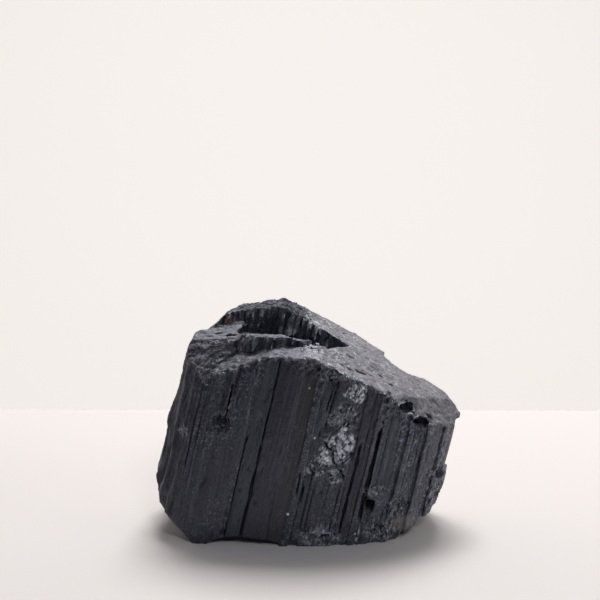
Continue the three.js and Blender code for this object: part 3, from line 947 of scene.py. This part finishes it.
grainy = maths("MULTIPLY", remap(chips, 0.15, 0.5, 0.5, 1.0), remap(grains, 0.12, 0.6, 0.4, 1.0))
# pale grains with painted glitter where the skin says so
body = mix(maths("MULTIPLY", grainy, value("pale_grain_and_glitter")), body, FACET_AND_GLITTER)
# painted glints on the brightest few grains
body = mix(maths("MULTIPLY", value("pale_grain_and_glitter"), remap(grains, 0.74, 0.88)), body, PAINTED_GLINT)
# the terraces' pale grey: partly dust, partly painted sheen
dusty_sheen = maths("MULTIPLY", value("dust_and_sheen"), remap(clouds, 0.3, 0.7, 0.65, 1.0))
dusty_sheen = maths("MULTIPLY", dusty_sheen, remap(grit, 0.34, 0.64, 0.25, 1.0))
body = mix(maths("MULTIPLY", dusty_sheen, remap(chips, 0.1, 0.9, 0.55, 1.0)), body, DUST_AND_SHEEN)
body = mix(maths("MULTIPLY", value("tan"), remap(grit, 0.35, 0.6, 0.45, 0.9)), body, SAND)
# black painted shade wherever the skin's shade value says so
body = mix(maths("MULTIPLY", value("shade"), 0.85), body, PAINTED_SHADE)
body = mix(maths("MULTIPLY", value("rust"), remap(grit, 0.35, 0.6, 0.35, 0.95)), body, RUST)
# painted highlights: a small bright spot drawn at each listed grain
flash = 0.0
for gx, gt, radius, brightness in GLINTS:
    middle = tuple(MM * v for v in (gx - AXIS_FOOT[0], 0, gt))
    away = vectors("MULTIPLY", vectors("SUBTRACT", upright, middle), (1, 0, 1))
    area = (radius * MM) ** 2
    ragged = maths("ADD", vectors("DOT_PRODUCT", away, away), maths("MULTIPLY", grit, area))
    flash = maths("MAXIMUM", remap(ragged, 1.5 * area, 0.6 * area, 0.0, brightness), flash)
body = mix(maths("MULTIPLY", flash, value("glint")), body, FLASH)
plug(body, shader.inputs["Base Color"])

# %% [markdown]
# Fresh breaks are glassy and dust is matt, so the roughness follows the same values as the colour. The
# finest scratches, and the tilt of each tiny grain, are a bump: they are too small to be cut.

# %% Gloss and bump
CRYSTAL_IOR = 1.6
COOL_TINT = (0.80, 0.85, 1.0)
BUMP_HEIGHT = 0.00012  # metres
BUMP_STRENGTH = 0.55

gloss = remap(grit, 0.3, 0.7, 0.24, 0.40)
for name, change in (("dust_and_sheen", 0.16), ("grain", -0.14), ("shade", 0.35), ("dull", 0.45)):
    gloss = maths("ADD", gloss, maths("MULTIPLY", value(name), change))
plug(gloss, shader.inputs["Roughness"])
plug(CRYSTAL_IOR, shader.inputs["IOR"])
plug(COOL_TINT, shader.inputs["Specular Tint"])

heights = maths("ADD", maths("MULTIPLY", striae, 0.6), maths("MULTIPLY", grit, 0.5))
glitter = maths("MULTIPLY", planes, maths("ADD", maths("MULTIPLY", value("grain"), 2.4), 0.2))
heights = maths("ADD", heights, glitter)
heights = maths("ADD", heights, maths("MULTIPLY", chip_planes, maths("MULTIPLY", value("dust_and_sheen"), 2.2)))
bump = node("ShaderNodeBump")
plug(heights, bump.inputs["Height"])
plug(BUMP_STRENGTH, bump.inputs["Strength"])
plug(BUMP_HEIGHT, bump.inputs["Distance"])
plug(bump.outputs[0], shader.inputs["Normal"])

skin.materials.clear()
skin.materials.append(finish)
print("nodes in the finish:", len(finish.node_tree.nodes))
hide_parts("tourmaline_crystal")
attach(crystal, "root")

# %% [markdown]
# The crystal stands on a pale floor before a pale wall that glows a little. Both are plain slabs,
# stretched from a cube.

# %% Floor and wall
TABLE_BACK = 0.063  # metres behind the crystal, where the floor ends
WALL_Y = 0.7
WALL_GLOW = 0.735
FLOOR_COLOUR = (0.62, 0.585, 0.57)
WALL_COLOUR = (0.93, 0.87, 0.82)


def plain(name, colour):
    material = bpy.data.materials.new(name)
    material.use_nodes = True
    paint = material.node_tree.nodes["Principled BSDF"]
    paint.inputs["Base Color"].default_value = (*colour, 1)
    paint.inputs["Roughness"].default_value = 0.9
    paint.inputs["Specular IOR Level"].default_value = 0.1
    return material


def slab(name, low, high, colour):
    made = bmesh.new()
    bmesh.ops.create_cube(made, size=1.0)
    low, high = Vector(low), Vector(high)
    bmesh.ops.scale(made, vec=high - low, verts=made.verts)
    bmesh.ops.translate(made, vec=(low + high) / 2, verts=made.verts)
    mesh = bpy.data.meshes.new(name)
    made.to_mesh(mesh)
    made.free()
    mesh.materials.append(plain(name, colour))
    obj = bpy.data.objects.new(name, mesh)
    bpy.context.scene.collection.objects.link(obj)
    return obj


floor = slab("floor", (-3, -3, -0.01), (3, TABLE_BACK, 0), FLOOR_COLOUR)
wall = slab("wall", (-3, WALL_Y, -2), (3, WALL_Y + 0.01, 3), WALL_COLOUR)
lit = wall.data.materials[0].node_tree.nodes["Principled BSDF"]
lit.inputs["Emission Color"].default_value = (*WALL_COLOUR, 1)
lit.inputs["Emission Strength"].default_value = WALL_GLOW

# %% [markdown]
# A wide soft light hangs above and a little behind, so that the terraces shine and the broad face stays
# dark. A weak one at the right lifts the ribbed end, and a small one in front picks out the crumbled
# grains. A faint bluish sky fills the shadows.

# %% Lights
# name, place, what it looks at, width and height, watts
LIGHTS = [
    ("overhead", (0.03, 0.235, 0.455), (0, 0, 0.01), (0.23, 0.19), 3.0),
    ("right", (0.5, -0.16, 0.2), (0, 0, 0.02), (0.2, 0.25), 0.35),
    ("front", (0.15, -0.40, 0.45), (0, 0, 0.02), (0.12, 0.12), 0.58),
]
SKY_COLOUR = (0.66, 0.78, 1.0)
SKY_STRENGTH = 0.10

for name, spot, target, size, watts in LIGHTS:
    light = bpy.data.lights.new(name, "AREA")
    light.shape = "RECTANGLE"
    light.size, light.size_y = size
    light.energy = watts
    obj = bpy.data.objects.new(name, light)
    obj.location = spot
    obj.rotation_euler = (Vector(target) - Vector(spot)).to_track_quat("-Z", "Y").to_euler()
    bpy.context.scene.collection.objects.link(obj)

world = bpy.data.worlds.new("studio")
world.use_nodes = True
sky = world.node_tree.nodes["Background"]
sky.inputs["Color"].default_value = (*SKY_COLOUR, 1)
sky.inputs["Strength"].default_value = SKY_STRENGTH
bpy.context.scene.world = world
bpy.context.scene.view_settings.view_transform = "Standard"
print("lights:", [row[0] for row in LIGHTS])

# %% [markdown]
# The camera stands a quarter of a metre in front of the broad face and looks down on it a little. A
# long lens keeps the ribs close to parallel, as they are on a piece held at reading distance.

# %% Camera
LENS = 80  # mm, on a sensor 36 mm wide
TILT = 77.2706  # degrees up from looking straight down
TURN = 0.4297  # degrees to the left
camera = bpy.data.objects.new("camera", bpy.data.cameras.new("camera"))
camera.data.lens = LENS
camera.data.sensor_width = 36
camera.data.clip_start = 0.01
camera.location = (0.0003, -0.233386, 0.0931)
camera.rotation_euler = (math.radians(TILT), 0, math.radians(TURN))
bpy.context.scene.collection.objects.link(camera)
bpy.context.scene.camera = camera
print("camera to crystal, mm:", round(camera.location.length * 1000))
